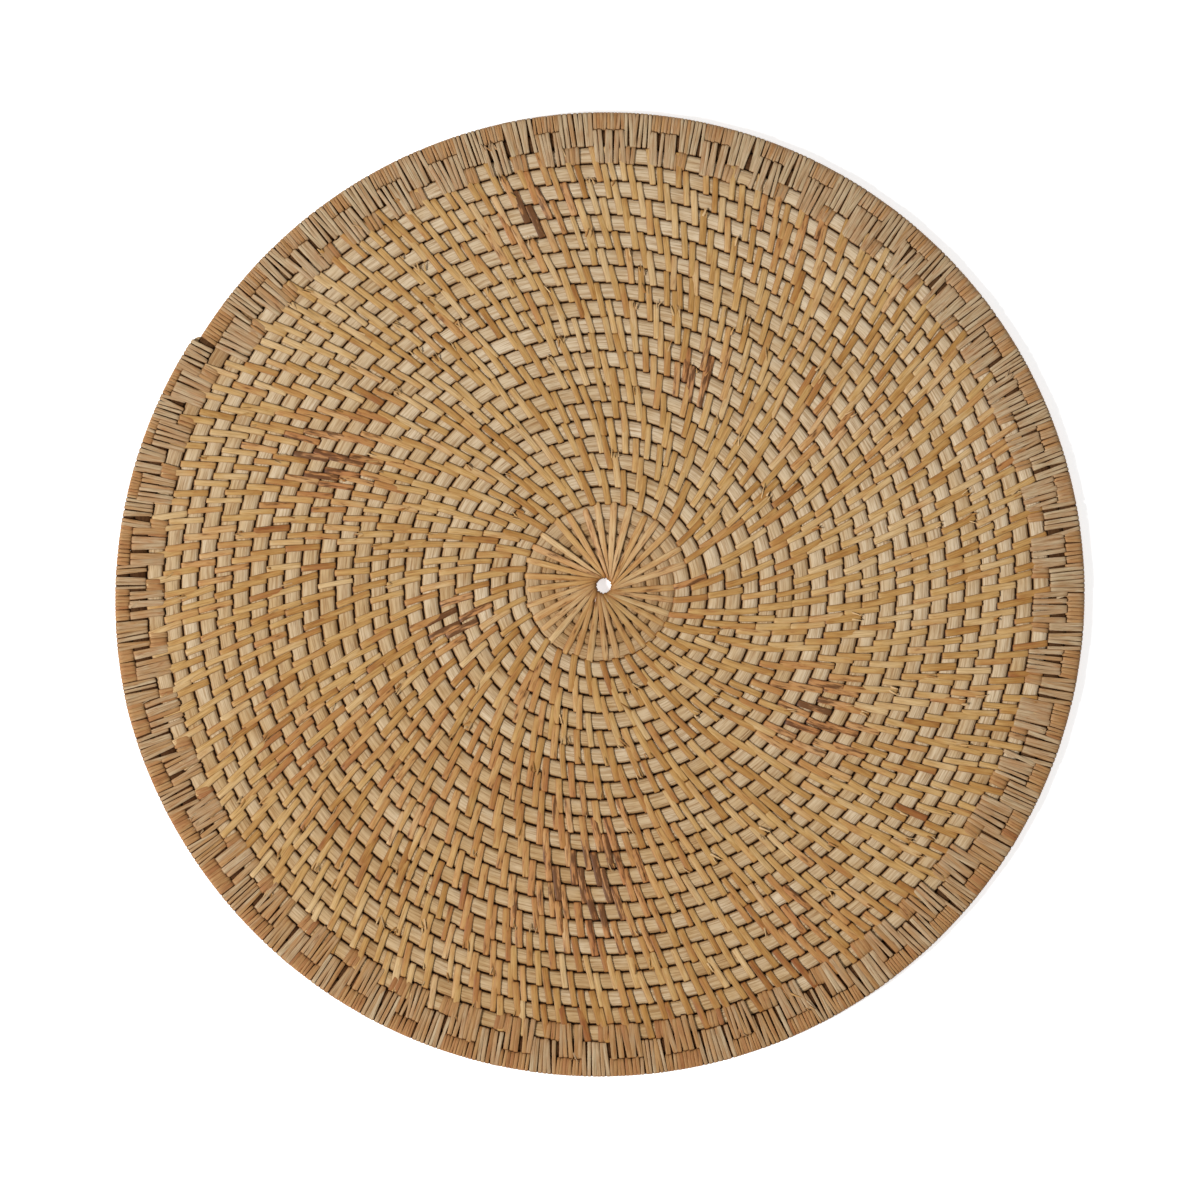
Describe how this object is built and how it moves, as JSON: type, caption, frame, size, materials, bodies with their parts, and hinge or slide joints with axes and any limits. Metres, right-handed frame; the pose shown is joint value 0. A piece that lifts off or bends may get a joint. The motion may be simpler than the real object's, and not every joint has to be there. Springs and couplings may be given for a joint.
{
  "type": "winnowing basket",
  "caption": "Flat round coiled winnowing tray: a spiral rattan core bound with strips of rattan peel, with a small central hole and a wrapped rim.",
  "frame": {"origin": "axis of the central hole, on the plane the tray rests on", "axes": "+Z out of the tray's top face along the hole's axis; +Y towards the top of the tray as pictured, with the coil's end at the upper left (148 degrees from +X)"},
  "size_m": [0.4003, 0.3968, 0.0054],
  "materials": {
    "rattan_core": "matte, pale straw grey",
    "binding_peel": "semi-gloss honey peel",
    "border_peel": "semi-gloss pale tan peel"
  },
  "bodies": {
    "root": {"binding_strand_01": "binding_peel", "binding_strand_02": "binding_peel", "binding_strand_03": "binding_peel", "binding_strand_04": "binding_peel", "binding_strand_05": "binding_peel", "binding_strand_06": "binding_peel", "binding_strand_07": "binding_peel", "binding_strand_08": "binding_peel", "binding_strand_09": "binding_peel", "binding_strand_10": "binding_peel", "binding_strand_11": "binding_peel", "binding_strand_12": "binding_peel", "binding_strand_13": "binding_peel", "binding_strand_14": "binding_peel", "binding_strand_15": "binding_peel", "binding_strand_16": "binding_peel", "binding_strand_17": "binding_peel", "binding_strand_18": "binding_peel", "binding_strand_19": "binding_peel", "binding_strand_20": "binding_peel", "binding_strand_21": "binding_peel", "binding_strand_22": "binding_peel", "binding_strand_23": "binding_peel", "binding_strand_24": "binding_peel", "binding_strand_25": "binding_peel", "binding_strand_26": "binding_peel", "binding_strand_27": "binding_peel", "binding_strand_28": "binding_peel", "binding_strand_29": "binding_peel", "binding_strand_30": "binding_peel", "binding_strand_31": "binding_peel", "binding_strand_32": "binding_peel", "binding_strand_33": "binding_peel", "binding_strand_34": "binding_peel", "binding_strand_35": "binding_peel", "binding_strand_36": "binding_peel", "binding_strand_37": "binding_peel", "binding_strand_38": "binding_peel", "binding_strand_39": "binding_peel", "binding_strand_40": "binding_peel", "border_strand_01": "border_peel", "border_strand_02": "border_peel", "border_strand_03": "border_peel", "border_strand_04": "border_peel", "border_strand_05": "border_peel", "centre_binding": "binding_peel", "foundation_core_1": "rattan_core", "foundation_core_2": "rattan_core", "foundation_core_3": "rattan_core", "foundation_core_4": "rattan_core", "foundation_core_5": "rattan_core", "foundation_core_6": "rattan_core", "rim_strand_01": "border_peel", "rim_strand_02": "border_peel", "rim_strand_03": "border_peel", "rim_strand_04": "border_peel", "rim_strand_05": "border_peel"}
  },
  "joints": []
}
